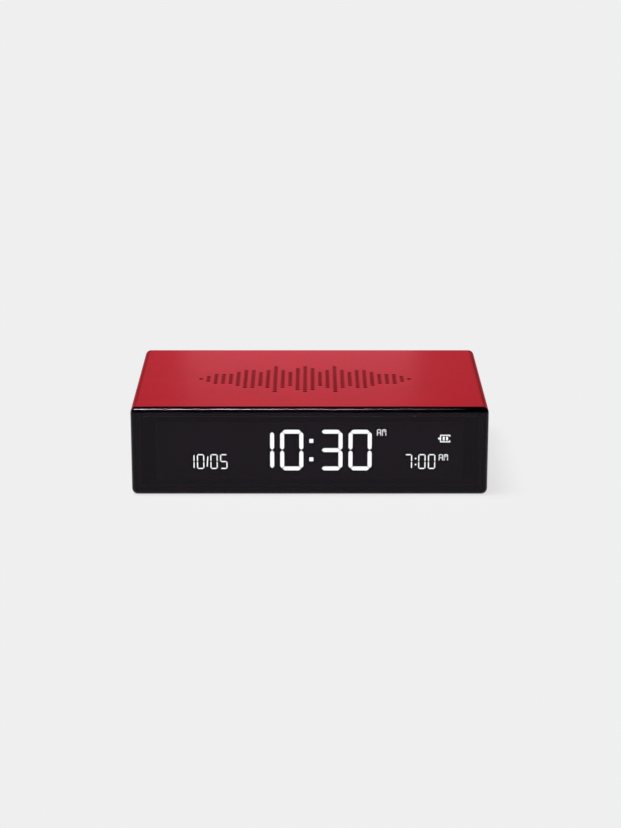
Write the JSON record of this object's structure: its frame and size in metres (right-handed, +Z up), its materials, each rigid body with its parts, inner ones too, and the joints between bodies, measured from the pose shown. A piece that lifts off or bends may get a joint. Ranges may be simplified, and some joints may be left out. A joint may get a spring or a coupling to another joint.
{
  "type": "travel alarm clock",
  "caption": "Flat reversible digital alarm clock: a perforated metal sleeve with a black display front and a recessed rear cover with keys and a charging socket.",
  "frame": {"origin": "middle of the footprint, on the surface the clock lies on", "axes": "+X to the right of the display as it is read, the display faces -Y, +Z up; the alarm-on side is up"},
  "size_m": [0.13, 0.082, 0.0331],
  "materials": {
    "sleeve_red": "satin anodised",
    "lens_smoked": "polished",
    "mask_black": "printed film",
    "segment_white": "lit",
    "lcd_black": "polished",
    "guide_clear": "frosted",
    "diode_white": "gloss",
    "ribbon_amber": "film",
    "holder_white": "moulded",
    "frame_grey": "moulded",
    "board_green": "solder mask",
    "chip_black": "moulded",
    "tin": "plated",
    "gold": "plated",
    "steel": "zinc plated",
    "screw_black": "black oxide",
    "ball_steel": "polished",
    "brass_disc": "rolled",
    "part_tan": "sintered",
    "buzzer_black": "moulded",
    "foam_black": "open cell",
    "mesh_black": "woven",
    "battery_wrap": "shrink film",
    "strap_metal": "stamped",
    "lead_red": "insulation",
    "lead_black": "insulation",
    "plug_white": "moulded",
    "cover_black": "fine texture",
    "key_black": "soft touch",
    "switch_grey": "moulded",
    "tongue_black": "moulded"
  },
  "bodies": {
    "clock": {"body_sleeve": "sleeve_red", "front_lens": "lens_smoked", "display_mask": "mask_black", "lcd_glass": "lcd_black", "light_guide": "guide_clear", "backlight_strips": "holder_white", "backlight_leds": "diode_white", "display_holder": "holder_white", "holder_screws": "steel", "lcd_segments": "segment_white", "display_ribbon": "ribbon_amber", "lower_frame": "frame_grey", "upper_frame": "frame_grey", "frame_screws": "steel", "foam_pads": "foam_black", "mesh_upper": "mesh_black", "mesh_lower": "mesh_black", "main_board": "board_green", "board_screws": "steel", "clock_chip": "chip_black", "chip_legs": "tin", "charger_chip": "chip_black", "crystal": "tin", "small_parts": "part_tan", "ribbon_connector": "plug_white", "buzzer_case": "buzzer_black", "buzzer_disc": "brass_disc", "buzzer_ring": "buzzer_black", "tilt_cup": "gold", "tilt_cap": "gold", "touch_spring": "steel", "battery_foam": "foam_black", "battery_cell": "battery_wrap", "battery_strap": "strap_metal", "strap_screw": "steel", "battery_lead_red": "lead_red", "battery_lead_black": "lead_black", "battery_socket": "plug_white", "battery_plug": "plug_white", "rear_cover": "cover_black", "cover_screws": "screw_black", "key_board": "board_green", "key_board_screws": "steel", "board_header": "chip_black", "header_pins": "gold", "switch_bodies": "switch_grey", "reset_switch": "switch_grey", "usb_shell": "tin", "usb_tongue": "tongue_black"},
    "time_key": {"key_time": "key_black", "stem_time": "switch_grey"},
    "alarm_key": {"key_alarm": "key_black", "stem_alarm": "switch_grey"},
    "minus_key": {"key_minus": "key_black", "stem_minus": "switch_grey"},
    "plus_key": {"key_plus": "key_black", "stem_plus": "switch_grey"},
    "reset_button": {"reset_stem": "switch_grey"},
    "tilt_weight": {"tilt_ball": "ball_steel"}
  },
  "joints": [
    {"name": "time_key_press", "type": "slide", "parent": "clock", "child": "time_key", "axis": [0, -1, 0], "range_m": [0, 0.0004], "stiffness_N_per_m": 2500},
    {"name": "alarm_key_press", "type": "slide", "parent": "clock", "child": "alarm_key", "axis": [0, -1, 0], "range_m": [0, 0.0004], "stiffness_N_per_m": 2500},
    {"name": "minus_key_press", "type": "slide", "parent": "clock", "child": "minus_key", "axis": [0, -1, 0], "range_m": [0, 0.0004], "stiffness_N_per_m": 2500},
    {"name": "plus_key_press", "type": "slide", "parent": "clock", "child": "plus_key", "axis": [0, -1, 0], "range_m": [0, 0.0004], "stiffness_N_per_m": 2500},
    {"name": "reset_press", "type": "slide", "parent": "clock", "child": "reset_button", "axis": [0, -1, 0], "range_m": [0, 0.0003], "stiffness_N_per_m": 2500},
    {"name": "tilt_ball_roll", "type": "slide", "parent": "clock", "child": "tilt_weight", "axis": [0, 0, 1], "range_m": [0, 0.0019]}
  ]
}
